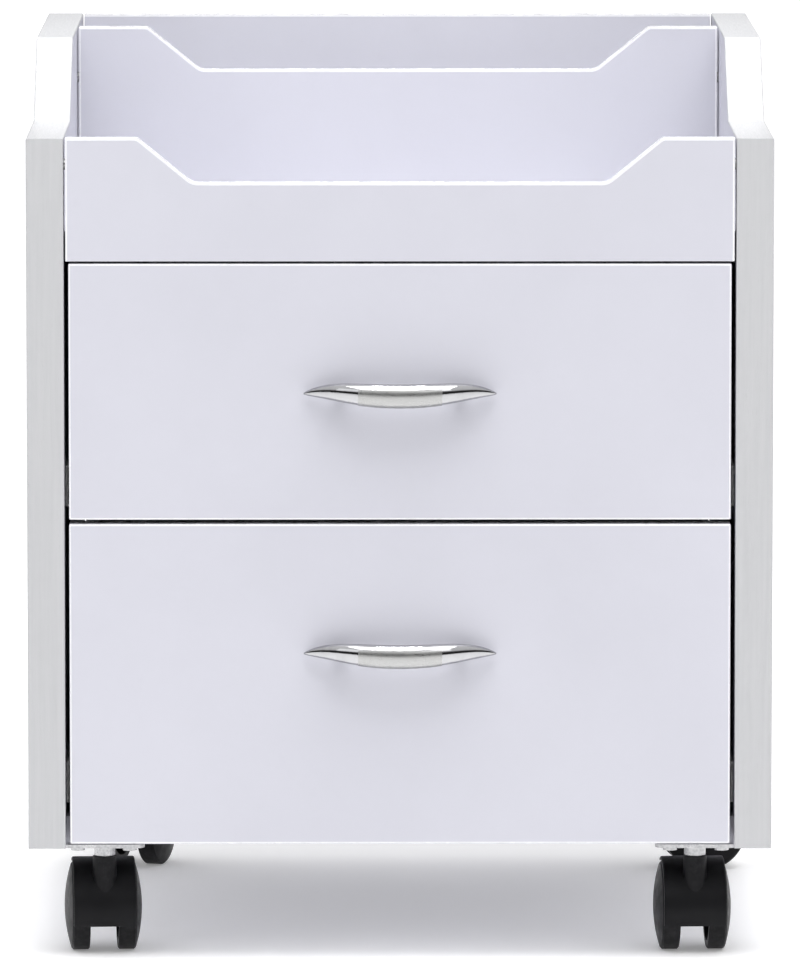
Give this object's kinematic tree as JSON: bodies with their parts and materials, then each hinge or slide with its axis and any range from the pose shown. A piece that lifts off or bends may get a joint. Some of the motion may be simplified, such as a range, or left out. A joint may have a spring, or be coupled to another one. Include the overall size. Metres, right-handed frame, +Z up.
{
  "type": "rolling pedestal cabinet",
  "caption": "Light laminated pedestal cabinet with an open divided tray on top, inset drawers with bow handles, and twin-wheel swivel casters.",
  "frame": {"origin": "on the floor, under the middle of the whole outline, handles included", "axes": "+Z up, -Y to the front where the drawers open, +X to the right seen from the front"},
  "size_m": [0.4, 0.4222, 0.488],
  "materials": {
    "laminate": "matt melamine laminate on particle board",
    "edge_band": "embossed wood-grain edge band",
    "thin_band": "smooth thin edge band",
    "drawer_liner": "foil-wrapped board",
    "runner_steel": "white epoxy coat",
    "roller_nylon": "moulded nylon",
    "chrome": "bright chrome plate",
    "satin_chrome": "satin plated insert",
    "zinc_steel": "bright zinc plate",
    "caster_nylon": "black moulded nylon"
  },
  "bodies": {
    "cabinet": {"left_side_panel": "laminate", "right_side_panel": "laminate", "back_panel": "laminate", "bottom_panel": "laminate", "tray_floor": "laminate", "tray_front_panel": "laminate", "tray_divider": "laminate", "left_edge_band": "edge_band", "right_edge_band": "edge_band", "tray_edge_bands": "thin_band", "cam_bolts": "zinc_steel", "cam_locks": "zinc_steel", "rail_screws": "zinc_steel", "caster_plates": "zinc_steel", "caster_stems": "zinc_steel", "caster_screws": "zinc_steel", "upper_cabinet_rails": "runner_steel", "lower_cabinet_rails": "runner_steel"},
    "upper_drawer": {"upper_drawer_front": "laminate", "upper_front_band": "thin_band", "upper_drawer_left_side": "drawer_liner", "upper_drawer_right_side": "drawer_liner", "upper_drawer_back": "drawer_liner", "upper_drawer_bottom": "drawer_liner", "upper_drawer_rails": "runner_steel", "upper_handle": "chrome", "upper_handle_insert": "satin_chrome", "upper_handle_screws": "zinc_steel"},
    "upper_front_rollers": {"upper_front_rollers": "roller_nylon"},
    "upper_rear_rollers": {"upper_rear_rollers": "roller_nylon"},
    "lower_drawer": {"lower_drawer_front": "laminate", "lower_front_band": "thin_band", "lower_drawer_left_side": "drawer_liner", "lower_drawer_right_side": "drawer_liner", "lower_drawer_back": "drawer_liner", "lower_drawer_bottom": "drawer_liner", "lower_drawer_rails": "runner_steel", "lower_handle": "chrome", "lower_handle_insert": "satin_chrome", "lower_handle_screws": "zinc_steel"},
    "lower_front_rollers": {"lower_front_rollers": "roller_nylon"},
    "lower_rear_rollers": {"lower_rear_rollers": "roller_nylon"},
    "front_left_caster": {"front_left_caster_hood": "caster_nylon", "front_left_caster_axle": "zinc_steel"},
    "front_left_left_wheel": {"front_left_left_wheel": "caster_nylon"},
    "front_left_right_wheel": {"front_left_right_wheel": "caster_nylon"},
    "front_right_caster": {"front_right_caster_hood": "caster_nylon", "front_right_caster_axle": "zinc_steel"},
    "front_right_left_wheel": {"front_right_left_wheel": "caster_nylon"},
    "front_right_right_wheel": {"front_right_right_wheel": "caster_nylon"},
    "rear_left_caster": {"rear_left_caster_hood": "caster_nylon", "rear_left_caster_axle": "zinc_steel"},
    "rear_left_left_wheel": {"rear_left_left_wheel": "caster_nylon"},
    "rear_left_right_wheel": {"rear_left_right_wheel": "caster_nylon"},
    "rear_right_caster": {"rear_right_caster_hood": "caster_nylon", "rear_right_caster_axle": "zinc_steel"},
    "rear_right_left_wheel": {"rear_right_left_wheel": "caster_nylon"},
    "rear_right_right_wheel": {"rear_right_right_wheel": "caster_nylon"}
  },
  "joints": [
    {"name": "upper_drawer_slide", "type": "slide", "parent": "cabinet", "child": "upper_drawer", "axis": [0, -1, 0], "range_m": [0, 0.26]},
    {"name": "upper_front_rollers_spin", "type": "hinge", "parent": "cabinet", "child": "upper_front_rollers", "pos_m": [0, -0.155, 0.2552], "axis": [1, 0, 0], "range_deg": [0, 1990]},
    {"name": "upper_rear_rollers_spin", "type": "hinge", "parent": "upper_drawer", "child": "upper_rear_rollers", "pos_m": [0, 0.167, 0.2548], "axis": [1, 0, 0], "range_deg": [0, 1990]},
    {"name": "lower_drawer_slide", "type": "slide", "parent": "cabinet", "child": "lower_drawer", "axis": [0, -1, 0], "range_m": [0, 0.26]},
    {"name": "lower_front_rollers_spin", "type": "hinge", "parent": "cabinet", "child": "lower_front_rollers", "pos_m": [0, -0.155, 0.0942], "axis": [1, 0, 0], "range_deg": [0, 1990]},
    {"name": "lower_rear_rollers_spin", "type": "hinge", "parent": "lower_drawer", "child": "lower_rear_rollers", "pos_m": [0, 0.167, 0.0938], "axis": [1, 0, 0], "range_deg": [0, 1990]},
    {"name": "front_left_swivel", "type": "hinge", "parent": "cabinet", "child": "front_left_caster", "pos_m": [-0.16, -0.152, 0.05], "axis": [0, 0, 1], "continuous": true},
    {"name": "front_left_left_wheel_spin", "type": "hinge", "parent": "front_left_caster", "child": "front_left_left_wheel", "pos_m": [-0.16126, -0.13404, 0.024], "axis": [0.9976, 0.0698, 0], "continuous": true},
    {"name": "front_left_right_wheel_spin", "type": "hinge", "parent": "front_left_caster", "child": "front_left_right_wheel", "pos_m": [-0.16126, -0.13404, 0.024], "axis": [0.9976, 0.0698, 0], "continuous": true},
    {"name": "front_right_swivel", "type": "hinge", "parent": "cabinet", "child": "front_right_caster", "pos_m": [0.16, -0.152, 0.05], "axis": [0, 0, 1], "continuous": true},
    {"name": "front_right_left_wheel_spin", "type": "hinge", "parent": "front_right_caster", "child": "front_right_left_wheel", "pos_m": [0.15906, -0.13402, 0.024], "axis": [0.9986, 0.0523, 0], "continuous": true},
    {"name": "front_right_right_wheel_spin", "type": "hinge", "parent": "front_right_caster", "child": "front_right_right_wheel", "pos_m": [0.15906, -0.13402, 0.024], "axis": [0.9986, 0.0523, 0], "continuous": true},
    {"name": "rear_left_swivel", "type": "hinge", "parent": "cabinet", "child": "rear_left_caster", "pos_m": [-0.156, 0.166, 0.05], "axis": [0, 0, 1], "continuous": true},
    {"name": "rear_left_left_wheel_spin", "type": "hinge", "parent": "rear_left_caster", "child": "rear_left_left_wheel", "pos_m": [-0.15074, 0.18321, 0.024], "axis": [0.9563, -0.2924, 0], "continuous": true},
    {"name": "rear_left_right_wheel_spin", "type": "hinge", "parent": "rear_left_caster", "child": "rear_left_right_wheel", "pos_m": [-0.15074, 0.18321, 0.024], "axis": [0.9563, -0.2924, 0], "continuous": true},
    {"name": "rear_right_swivel", "type": "hinge", "parent": "cabinet", "child": "rear_right_caster", "pos_m": [0.156, 0.166, 0.05], "axis": [0, 0, 1], "continuous": true},
    {"name": "rear_right_left_wheel_spin", "type": "hinge", "parent": "rear_right_caster", "child": "rear_right_left_wheel", "pos_m": [0.17382, 0.16851, 0.024], "axis": [0.1392, -0.9903, 0], "continuous": true},
    {"name": "rear_right_right_wheel_spin", "type": "hinge", "parent": "rear_right_caster", "child": "rear_right_right_wheel", "pos_m": [0.17382, 0.16851, 0.024], "axis": [0.1392, -0.9903, 0], "continuous": true}
  ],
  "couplings": [
    {"joint": "upper_front_rollers_spin", "follows": "upper_drawer_slide", "rad_per_m": 133.33},
    {"joint": "upper_rear_rollers_spin", "follows": "upper_drawer_slide", "rad_per_m": 133.33},
    {"joint": "lower_front_rollers_spin", "follows": "lower_drawer_slide", "rad_per_m": 133.33},
    {"joint": "lower_rear_rollers_spin", "follows": "lower_drawer_slide", "rad_per_m": 133.33}
  ]
}
